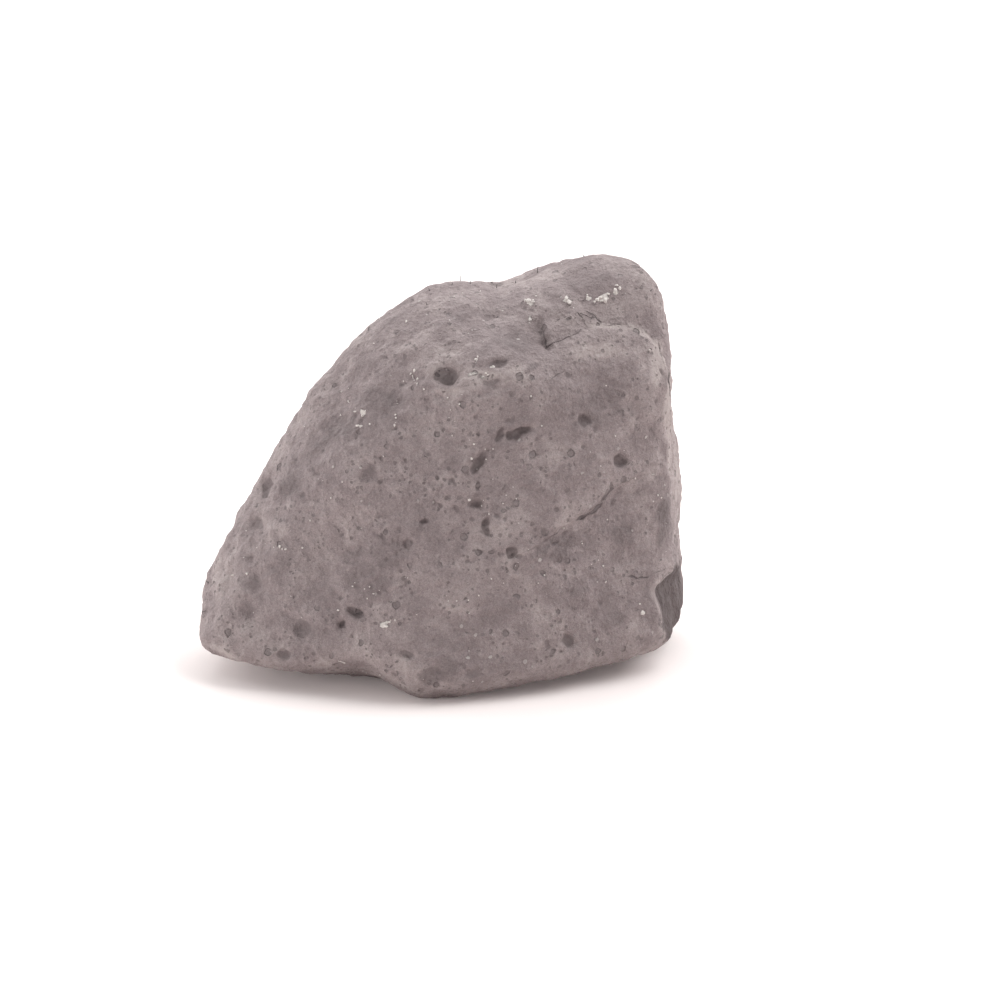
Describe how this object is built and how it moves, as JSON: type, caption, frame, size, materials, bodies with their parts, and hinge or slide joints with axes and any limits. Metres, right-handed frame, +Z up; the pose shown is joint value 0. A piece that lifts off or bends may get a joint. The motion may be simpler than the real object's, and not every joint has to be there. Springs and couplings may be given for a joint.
{
  "type": "lodestone",
  "caption": "Natural lump of magnetic iron ore: a worn, pitted stone with a broad front, a sloping left side, a parted cap and a flat to rest on.",
  "frame": {"origin": "middle of the stone's outline seen from above, at the level of the flat that it rests on", "axes": "+X along the stone's length, towards its blunt end; +Y away from its broad front; +Z up"},
  "size_m": [0.0596, 0.0441, 0.0492],
  "materials": {
    "stone": "matt, dull grey with a faint purple-brown cast, finely pitted"
  },
  "bodies": {
    "root": {"stone": "stone"}
  },
  "joints": []
}
